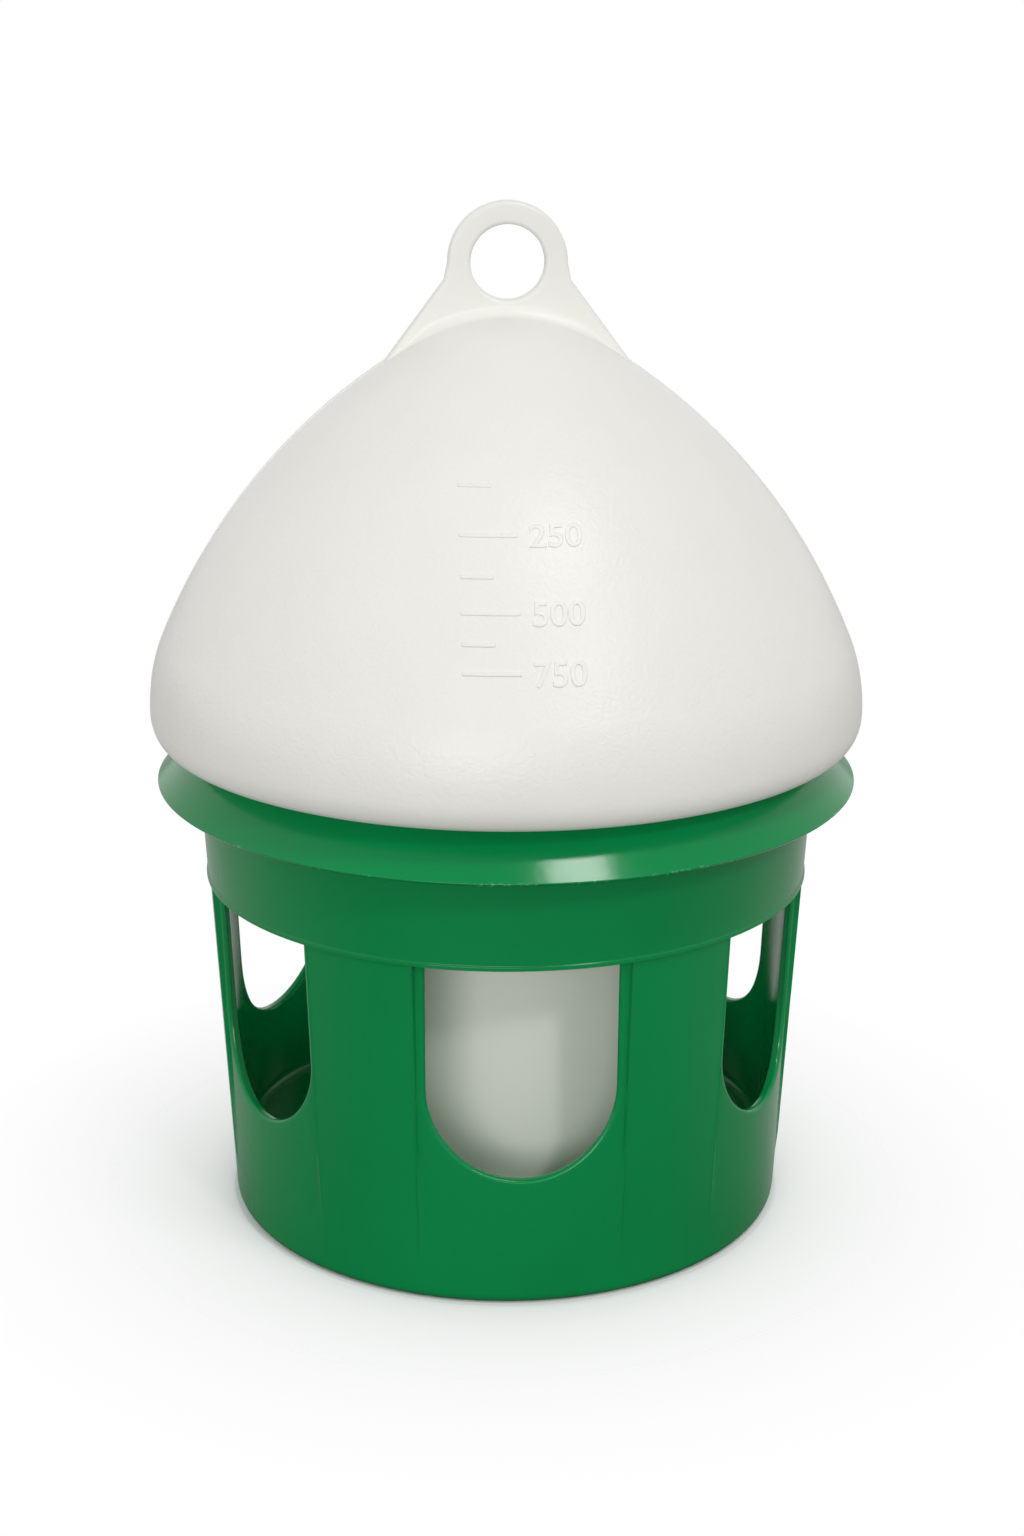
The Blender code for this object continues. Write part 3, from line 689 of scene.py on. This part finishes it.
leather = add_node(tree, "ShaderNodeBump", {
    "Height": blown, "Strength": WRINKLE_STRENGTH, "Distance": WRINKLE_DEPTH_MM * MM})
tree.links.new(body.outputs[MIX_RESULT], shader.inputs["Base Color"])
tree.links.new(satin.outputs["Result"], shader.inputs["Roughness"])
tree.links.new(leather.outputs["Normal"], shader.inputs["Normal"])
shader.inputs["IOR"].default_value = POLYETHYLENE_IOR

seat_z = rim_z + SEAT_GAP
body_r = high("bottle_shoulder").x
widest_z = high("bottle_shoulder").z
apex_z = high("domed_body").z
roll_up = widest_z - seat_z


def dome_arcs():
    """Centres of the crown's, the flank's and the waist's arcs, and where they meet."""
    crown = (0.0, apex_z - CROWN_R)
    waist = (body_r - WAIST_R, widest_z)
    to_crown = FLANK_R - CROWN_R
    to_waist = FLANK_R - WAIST_R
    span_r = waist[0] - crown[0]
    span_z = waist[1] - crown[1]
    span = math.hypot(span_r, span_z)
    along = (to_crown ** 2 - to_waist ** 2 + span ** 2) / (2 * span)
    aside = math.sqrt(to_crown ** 2 - along ** 2)
    flank = (crown[0] + (along * span_r + aside * span_z) / span,
             crown[1] + (along * span_z - aside * span_r) / span)
    upper_deg = math.degrees(math.atan2(crown[1] - flank[1], crown[0] - flank[0]))
    lower_deg = math.degrees(math.atan2(waist[1] - flank[1], waist[0] - flank[0]))
    return crown, flank, waist, upper_deg, lower_deg


def dome_outline(inset):
    """The dome from crown to waist, in three arcs that run smoothly into each other."""
    crown, flank, waist, upper_deg, lower_deg = dome_arcs()
    points = []
    for centre, size, start_deg, end_deg, steps in (
            (crown, CROWN_R, 90, upper_deg, CROWN_STEPS),
            (flank, FLANK_R, upper_deg, lower_deg, FLANK_STEPS),
            (waist, WAIST_R, lower_deg, 0, WAIST_STEPS)):
        points += arc(*centre, size - inset, size - inset, start_deg, end_deg, steps)[:-1]
    return points


def underside_outline(inset):
    """The rolled edge, the flat seat, the funnel and the corner into the neck."""
    points = arc(body_r - ROLL_OUT, widest_z, ROLL_OUT - inset, roll_up - inset,
                 0, -90, ROLL_STEPS)
    slope = math.radians(FUNNEL_DEG)
    seat_in_r = collar_r(rim_z) - SEAT_IN
    points.append((seat_in_r - inset * math.tan(slope / 2), seat_z + inset))
    corner_r = neck_r + NECK_CORNER_R
    funnel_z = seat_z - (seat_in_r - corner_r) * math.tan(slope)
    corner_z = funnel_z - NECK_CORNER_R / math.cos(slope)
    bend = NECK_CORNER_R + inset
    points += arc(corner_r, corner_z, bend, bend, 90 + FUNNEL_DEG, 180, NECK_CORNER_STEPS)
    return points


neck_in_r = neck_r - BOTTLE_T
outlet_z = neck_foot_z + OUTLET_H
lip_z = neck_foot_z + NECK_LIP_R
lip = arc(neck_r - NECK_LIP_R, lip_z, NECK_LIP_R, NECK_LIP_R, 0, -90, NECK_LIP_STEPS)
lip += arc(neck_in_r + NECK_LIP_R, lip_z, NECK_LIP_R, NECK_LIP_R, -90, -180, NECK_LIP_STEPS)
outside = dome_outline(0.0) + underside_outline(0.0)
inside = dome_outline(BOTTLE_T) + underside_outline(BOTTLE_T)
neck_rings = [*NECK_RINGS_Z, outlet_z]
bottle_profile = outside + [(neck_r, z) for z in neck_rings] + lip
bottle_profile += [(neck_in_r, z) for z in reversed(neck_rings)] + inside[::-1]

bottle_shape = bmesh.new()
profile_verts = [bottle_shape.verts.new((r, 0.0, z)) for r, z in bottle_profile]
profile_edges = [bottle_shape.edges.new(pair) for pair in zip(profile_verts, profile_verts[1:])]
bmesh.ops.spin(bottle_shape, geom=profile_verts + profile_edges, cent=(0, 0, 0), axis=(0, 0, 1),
               angle=math.tau, steps=ROUND_STEPS, use_merge=True)
bmesh.ops.remove_doubles(bottle_shape, verts=bottle_shape.verts, dist=MERGE_WITHIN)


def cut_outlet(shape, middle_deg):
    """Opens a notch in the neck's foot: takes out its faces and closes the cut's sides."""
    half = math.asin(OUTLET_W / 2 / neck_r) + OUTLET_SLACK_RAD
    gone = []
    for face in shape.faces:
        middle = face.calc_center_median()
        turn = math.atan2(middle.y, middle.x) - math.radians(middle_deg)
        turn = (turn + math.pi) % math.tau - math.pi
        in_wall = middle.xy.length > neck_in_r - OUTLET_REACH_IN
        if abs(turn) < half and middle.z < outlet_z and in_wall:
            gone.append(face)
    bmesh.ops.delete(shape, geom=gone, context="FACES")
    open_edges = [edge for edge in shape.edges if edge.is_boundary]
    upright = [edge for edge in open_edges
               if all(vert.co.z > lip_z - SAME_HEIGHT for vert in edge.verts)]
    bmesh.ops.bridge_loops(shape, edges=upright)
    bmesh.ops.holes_fill(shape, edges=[edge for edge in shape.edges if edge.is_boundary], sides=0)


for i in range(SOCKET_COUNT):
    cut_outlet(bottle_shape, FRONT_DEG + i * 360 / SOCKET_COUNT - LOCK_TURN_DEG)
for i in range(SOCKET_COUNT):
    add_sector(bottle_shape, [(neck_r - RUN_IN, lug_z), (neck_r + LUG_OUT, lug_z),
                              (neck_r + LUG_OUT, lug_z + LUG_H), (neck_r - RUN_IN, lug_z + LUG_H)],
               FRONT_DEG + i * 360 / SOCKET_COUNT, LUG_SPAN_DEG, LEDGE_EDGE_R)


def loft(shape, sections):
    """A closed skin over a row of closed sections with as many points each, ends filled."""
    around = len(sections[0])
    grid = bmesh.ops.create_grid(shape, x_segments=len(sections) - 1, y_segments=around, size=0.5)
    for vert in grid["verts"]:
        section = sections[round((vert.co.x + 0.5) * (len(sections) - 1))]
        vert.co = section[round((vert.co.y + 0.5) * around) % around]
    bmesh.ops.remove_doubles(shape, verts=grid["verts"], dist=MERGE_WITHIN)
    ends = {edge for vert in grid["verts"] if vert.is_valid for edge in vert.link_edges
            if edge.is_boundary}
    bmesh.ops.holes_fill(shape, edges=list(ends), sides=0)


# The fine ridge where the mould's two halves part runs down both sides in the tab's plane, as
# far as the inner edge of the seat.
seat_points = ROLL_STEPS + 2
ridge = list(zip(dome_outline(-PARTING_H) + underside_outline(-PARTING_H)[:seat_points],
                 dome_outline(PARTING_ROOT) + underside_outline(PARTING_ROOT)[:seat_points]))
for side in (-1, 1):
    ridge_sections = []
    for (out_r, out_z), (in_r, in_z) in ridge:
        out_x = side * min(out_r, body_r)
        ridge_sections.append([
            (side * in_r, -PARTING_W / 2, in_z), (out_x, -PARTING_W / 4, out_z),
            (out_x, PARTING_W / 4, out_z), (side * in_r, PARTING_W / 2, in_z)])
    loft(bottle_shape, ridge_sections)
bottle = make_piece("water_bottle", bottle_shape, polyethylene)
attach(bottle, "bottle")
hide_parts("domed_body", "bottle_shoulder", "bottle_neck")

# Hanging tab: the bottle's blown tube pinched flat and solid in the mould's parting plane,
# trimmed to a ring on a short waist with spreading feet that run into the dome.
TAB_T = 4.9
TAB_EDGE_R = 1.0
TAB_RING_R = 15.25
TAB_HOLE_R = 9.45
TAB_WAIST_W = 32.4
TAB_WAIST_DROP = 4.5
TAB_FOOT_W = 63.2
TAB_FOOT_DROP = 25.0
TAB_ROOT = 3.0
TAB_FILLET_R = 3.0
TAB_FILLET_END = 30.6
TAB_FILLET_LEAST = 0.3
TAB_FILLET_TRIES = 3
TAB_FILLET_LEAN = 0.7
TAB_FILLET_SHARE = 0.55
TAB_FILLET_IN = 0.8
TAB_FILLET_UNDER = 0.5
TAB_EASED_FROM_DEG = 60
TAB_SAME_FACE = 0.1
FILLET_COLUMNS = 72
FILLET_STEPS = 8
RING_STEPS = 96

tab_side_slope = (TAB_FOOT_DROP - TAB_WAIST_DROP) / ((TAB_FOOT_W - TAB_WAIST_W) / 2)
ring_z = high("hanging_tab").z - TAB_RING_R


def fillet_section(x, side):
    """The soft corner between the tab's face and the dome, as a ball rolled along it leaves
    it: its hollow arc from the tab to the dome, and a corner hidden inside them. The ball
    gets smaller where the tab's edge leaves it less room.
    """
    crown, flank, _, upper_deg, _ = dome_arcs()
    edge_z = ring_z - TAB_WAIST_DROP - max(abs(x) - TAB_WAIST_W / 2, 0.0) * tab_side_slope
    ball = TAB_FILLET_R
    for _ in range(TAB_FILLET_TRIES):
        y = TAB_T / 2 + ball
        r = math.hypot(x, y)
        on_crown = r < (CROWN_R + ball) * math.cos(math.radians(upper_deg))
        centre, size = (crown, CROWN_R) if on_crown else (flank, FLANK_R)
        z = centre[1] + math.sqrt((size + ball) ** 2 - (r - centre[0]) ** 2)
        room = (edge_z - z + ball * TAB_FILLET_LEAN) * TAB_FILLET_SHARE - TAB_EDGE_R
        ball = min(TAB_FILLET_R, max(TAB_FILLET_LEAST, room))
    y = TAB_T / 2 + ball
    r = math.hypot(x, y)
    z = centre[1] + math.sqrt((size + ball) ** 2 - (r - centre[0]) ** 2)
    middle = Vector((x, side * y, z))
    to_tab = Vector((0.0, -side, 0.0))
    to_dome = -Vector(((r - centre[0]) * x / r, side * (r - centre[0]) * y / r, z - centre[1]))
    to_dome.normalize()
    arc_points = [middle + ball * to_tab.slerp(to_dome, k / FILLET_STEPS)
                  for k in range(FILLET_STEPS + 1)]
    hidden = Vector((x, side * (TAB_T / 2 - TAB_FILLET_IN), arc_points[-1].z - TAB_FILLET_UNDER))
    return arc_points + [hidden]


def tab_outline():
    """Front view of the tab from its right foot over the ring to its left foot."""
    waist_z = ring_z - TAB_WAIST_DROP
    foot_z = ring_z - TAB_FOOT_DROP
    half_waist = TAB_WAIST_W / 2
    half_foot = TAB_FOOT_W / 2
    points = [(half_foot, foot_z - TAB_ROOT), (half_foot, foot_z), (half_waist, waist_z)]
    points += arc(0.0, ring_z, TAB_RING_R, TAB_RING_R, 0, 180, RING_STEPS // 2)
    points += [(-half_waist, waist_z), (-half_foot, foot_z), (-half_foot, foot_z - TAB_ROOT)]
    return points


tab_shape = bmesh.new()
rim_verts = [tab_shape.verts.new((x, -TAB_T / 2, z)) for x, z in tab_outline()]
for k in range(len(rim_verts)):
    tab_shape.edges.new((rim_verts[k], rim_verts[k - 1]))
bmesh.ops.create_circle(tab_shape, cap_ends=False, radius=TAB_HOLE_R, segments=RING_STEPS,
                        matrix=Matrix.Translation((0, -TAB_T / 2, ring_z))
                        @ Matrix.Rotation(math.pi / 2, 4, "X"))
bmesh.ops.triangle_fill(tab_shape, edges=tab_shape.edges, use_beauty=True, use_dissolve=False)
front = list(tab_shape.faces)
raised = bmesh.ops.extrude_face_region(tab_shape, geom=front)["geom"]
bmesh.ops.translate(tab_shape, vec=(0, TAB_T, 0),
                    verts=[item for item in raised if isinstance(item, bmesh.types.BMVert)])
bmesh.ops.recalc_face_normals(tab_shape, faces=tab_shape.faces)
eased = [edge for edge in tab_shape.edges
         if edge.calc_face_angle(0.0) > math.radians(TAB_EASED_FROM_DEG)
         and abs(edge.verts[0].co.y - edge.verts[1].co.y) < TAB_SAME_FACE]
bmesh.ops.bevel(tab_shape, geom=eased, offset=TAB_EDGE_R, offset_type="OFFSET", segments=4,
                profile=0.5, affect="EDGES", material=-1)
for side in (-1, 1):
    stations = [TAB_FILLET_END * (2 * k / FILLET_COLUMNS - 1) for k in range(FILLET_COLUMNS + 1)]
    loft(tab_shape, [fillet_section(x, side) for x in stations])
hanging_tab = make_piece("hanging_tab_plate", tab_shape, polyethylene)
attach(hanging_tab, "bottle")
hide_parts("hanging_tab")

# Level scale: raised bars and plain numbers on the front of the dome, blown with the bottle.
# The numbers are the millilitres that it holds up to there when it is turned over to be
# filled. The heights of the numbered bars are worked out, and the short ones are given.
LEVEL_BARS = {125: 207.8, 250: 197.7, 375: 189.2, 500: 181.7, 625: 175.2, 750: 169.1}
NUMBERED_STEP = 250
BAR_FOOT_X = -15.0
LONG_BAR_W = 14.0
SHORT_BAR_W = 8.0
BAR_H = 1.1
MARK_OUT = 0.28
MARK_ROOT = 0.6
MARK_EDGE_R = 0.3
NUMBER_GAP = 2.5
NUMBER_SIZE = 8.6
NUMBER_H = 6.1
BAR_CUTS = 8
BAR_CUT_WITHIN = 0.0001
MARK_SHARP_DEG = 50


def bend_on_dome(verts, foot_z):
    """Bends flat marks on to the dome: X runs round it, Y up its side, Z out from it."""
    flank = dome_arcs()[1]
    start = math.asin((foot_z - flank[1]) / FLANK_R)
    for vert in verts:
        rise = start + vert.co.y / FLANK_R
        out = FLANK_R + vert.co.z
        radius = flank[0] + out * math.cos(rise)
        turn = math.radians(FRONT_DEG) + vert.co.x / radius
        height = flank[1] + out * math.sin(rise)
        vert.co = (radius * math.cos(turn), radius * math.sin(turn), height)


def add_bar(shape, width, level_z):
    """One raised bar of the scale, its edges soft, cut across so that it can bend."""
    bar = bmesh.new()
    bmesh.ops.create_cube(bar, size=1.0)
    bmesh.ops.scale(bar, vec=(width, BAR_H, MARK_OUT + MARK_ROOT), verts=bar.verts)
    bmesh.ops.translate(bar, vec=(BAR_FOOT_X + width / 2, 0, (MARK_OUT - MARK_ROOT) / 2),
                        verts=bar.verts)
    bmesh.ops.bevel(bar, geom=list(bar.edges), offset=MARK_EDGE_R, offset_type="OFFSET", segments=3,
                    profile=0.5, affect="EDGES", material=-1)
    for k in range(1, BAR_CUTS):
        bmesh.ops.bisect_plane(bar, geom=list(bar.verts) + list(bar.edges) + list(bar.faces),
                               plane_co=(BAR_FOOT_X + width * k / BAR_CUTS, 0, 0),
                               plane_no=(1, 0, 0), dist=BAR_CUT_WITHIN)
    bend_on_dome(bar.verts, level_z)
    flat = bpy.data.meshes.new("bar")
    bar.to_mesh(flat)
    bar.free()
    shape.from_mesh(flat)
    bpy.data.meshes.remove(flat)


def add_number(shape, number, level_z):
    """One plain number beside its bar, with soft edges, as a mesh bent on to the dome."""
    lettering = bpy.data.curves.new("number", "FONT")
    lettering.body = str(number)
    lettering.size = NUMBER_SIZE
    lettering.extrude = (MARK_OUT + MARK_ROOT) / 2 - MARK_EDGE_R / 2
    lettering.bevel_depth = MARK_EDGE_R / 2
    lettering.bevel_resolution = 1
    lettering.resolution_u = 6
    holder = bpy.data.objects.new("number", lettering)
    bpy.context.scene.collection.objects.link(holder)
    settled = holder.evaluated_get(bpy.context.evaluated_depsgraph_get())
    flat = bpy.data.meshes.new_from_object(settled)
    bpy.data.objects.remove(holder)
    glyphs = bmesh.new()
    glyphs.from_mesh(flat)
    bmesh.ops.translate(glyphs, vec=(BAR_FOOT_X + LONG_BAR_W + NUMBER_GAP, -NUMBER_H / 2,
                                     (MARK_OUT - MARK_ROOT) / 2), verts=glyphs.verts)
    bend_on_dome(glyphs.verts, level_z)
    glyphs.to_mesh(flat)
    glyphs.free()
    shape.from_mesh(flat)
    bpy.data.meshes.remove(flat)


scale_shape = bmesh.new()
for number, level_z in LEVEL_BARS.items():
    if number % NUMBERED_STEP:
        add_bar(scale_shape, SHORT_BAR_W, level_z)
    else:
        add_bar(scale_shape, LONG_BAR_W, level_z)
        add_number(scale_shape, number, level_z)
level_scale = make_piece("level_scale", scale_shape, polyethylene, MARK_SHARP_DEG)
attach(level_scale, "bottle")

# Floor and light: a plain white floor that fades into the white surround, and three soft lamp
# boxes in front, two small bright ones up on the right and a wide dim one low on the left.
# The surround and the floor throw back less light from in front than from beside and behind.
FLOOR_HEX = "#FFFFFF"
FLOOR_FRONT_HEX = "#787876"
FLOOR_SIDE_HEX = "#CECECC"
FLOOR_TURN = (-0.7, 0.15)
FLOOR_SIZE_M = 6.0
FLOOR_FADE_MM = (76.0, 165.0)
FLOOR_FADE_CURVE = 0.3
FLOOR_ROUGHNESS = 0.8
LAMP_DISTANCE_M = 1.6
LAMP_AIM_Z_M = 0.12
# Each lamp's level, its size in metres, and its azimuth, elevation and roll in degrees.
LAMPS = {
    "key_box": (24.5, (0.4, 0.15), (31.8, 61.1, -25.0)),
    "side_box": (33.0, (0.18, 0.18), (27.0, 36.0, 0.0)),
    "low_box": (5.5, (0.9, 0.5), (-14.0, 12.0, 0.0)),
}
SURROUND_WAY = (-0.2, 0.98, 0.0)
FRONT_LEVEL = 0.5
BACK_LEVEL = 1.05
ZENITH_SHARE = 0.45
SURROUND_TURN = (-0.9, 0.3)
SURROUND_RISE = (0.1, 1.0)

floor_shape = bmesh.new()
bmesh.ops.create_grid(floor_shape, x_segments=1, y_segments=1, size=FLOOR_SIZE_M / 2)
floor_mesh = bpy.data.meshes.new("floor")
floor_shape.to_mesh(floor_mesh)
floor_shape.free()
floor = bpy.data.objects.new("floor", floor_mesh)
bpy.context.scene.collection.objects.link(floor)
painted, tree, shader = new_material("matt_white_floor")
path = add_node(tree, "ShaderNodeLightPath")
place = add_node(tree, "ShaderNodeTexCoord").outputs["Object"]
away = add_node(tree, "ShaderNodeVectorMath", {0: place}, operation="LENGTH")
reach = add_node(tree, "ShaderNodeMapRange", {
    "Value": away.outputs["Value"], "From Min": FLOOR_FADE_MM[0] * MM,
    "From Max": FLOOR_FADE_MM[1] * MM})
fade = add_node(tree, "ShaderNodeMath", {
    0: reach.outputs["Result"], 1: FLOOR_FADE_CURVE}, operation="POWER")
heading = add_node(tree, "ShaderNodeVectorMath", {0: place}, operation="NORMALIZE")
backward = add_node(tree, "ShaderNodeSeparateXYZ", {"Vector": heading.outputs["Vector"]})
beside = add_node(tree, "ShaderNodeMapRange", {
    "Value": backward.outputs["Y"], "From Min": FLOOR_TURN[0], "From Max": FLOOR_TURN[1]})
bounce = add_node(tree, "ShaderNodeMix", {
    "Factor": beside.outputs["Result"], MIX_A: linear(FLOOR_FRONT_HEX),
    MIX_B: linear(FLOOR_SIDE_HEX)}, data_type="RGBA")
tone = add_node(tree, "ShaderNodeMix", {
    "Factor": path.outputs["Is Camera Ray"], MIX_A: bounce.outputs[MIX_RESULT],
    MIX_B: linear(FLOOR_HEX)}, data_type="RGBA")
veil = add_node(tree, "ShaderNodeMath", {
    0: fade.outputs["Value"], 1: path.outputs["Is Camera Ray"]}, operation="MULTIPLY")
clear = add_node(tree, "ShaderNodeBsdfTransparent")
mixed = add_node(tree, "ShaderNodeMixShader", {
    "Fac": veil.outputs["Value"], 1: shader.outputs["BSDF"], 2: clear.outputs["BSDF"]})
tree.links.new(tone.outputs[MIX_RESULT], shader.inputs["Base Color"])
tree.links.new(mixed.outputs["Shader"], tree.nodes["Material Output"].inputs["Surface"])
shader.inputs["Roughness"].default_value = FLOOR_ROUGHNESS
floor_mesh.materials.append(painted)

for name, (level, size, (azimuth, elevation, roll)) in LAMPS.items():
    lamp_data = bpy.data.lights.new(name, "AREA")
    lamp_data.shape = "RECTANGLE"
    lamp_data.size, lamp_data.size_y = size
    lamp_data.energy = level * math.pi * size[0] * size[1]
    lamp = bpy.data.objects.new(name, lamp_data)
    bpy.context.scene.collection.objects.link(lamp)
    lamp.matrix_world = (
        Matrix.Translation((0, 0, LAMP_AIM_Z_M))
        @ Matrix.Rotation(math.radians(azimuth), 4, "Z")
        @ Matrix.Rotation(math.radians(90 - elevation), 4, "X")
        @ Matrix.Translation((0, 0, LAMP_DISTANCE_M))
        @ Matrix.Rotation(math.radians(roll), 4, "Z")
    )

world = bpy.data.worlds.new("pale_surround")
bpy.context.scene.world = world
world.use_nodes = True
tree = world.node_tree
background = tree.nodes["Background"]
aim = add_node(tree, "ShaderNodeTexCoord").outputs["Generated"]
rise = add_node(tree, "ShaderNodeSeparateXYZ", {"Vector": aim}).outputs["Z"]
way = add_node(tree, "ShaderNodeVectorMath", {0: aim, 1: SURROUND_WAY}, operation="DOT_PRODUCT")
round_level = add_node(tree, "ShaderNodeMapRange", {
    "Value": way.outputs["Value"], "From Min": SURROUND_TURN[0], "From Max": SURROUND_TURN[1],
    "To Min": FRONT_LEVEL, "To Max": BACK_LEVEL})
up_level = add_node(tree, "ShaderNodeMapRange", {
    "Value": rise, "From Min": SURROUND_RISE[0], "From Max": SURROUND_RISE[1],
    "To Min": 1.0, "To Max": ZENITH_SHARE})
level = add_node(tree, "ShaderNodeMath", {
    0: round_level.outputs["Result"], 1: up_level.outputs["Result"]}, operation="MULTIPLY")
path = add_node(tree, "ShaderNodeLightPath")
shown = add_node(tree, "ShaderNodeMix", {
    "Factor": path.outputs["Is Camera Ray"], "A": level.outputs["Value"], "B": 1.0},
    data_type="FLOAT")
tree.links.new(shown.outputs["Result"], background.inputs["Strength"])
background.inputs["Color"].default_value = (1.0, 1.0, 1.0, 1.0)
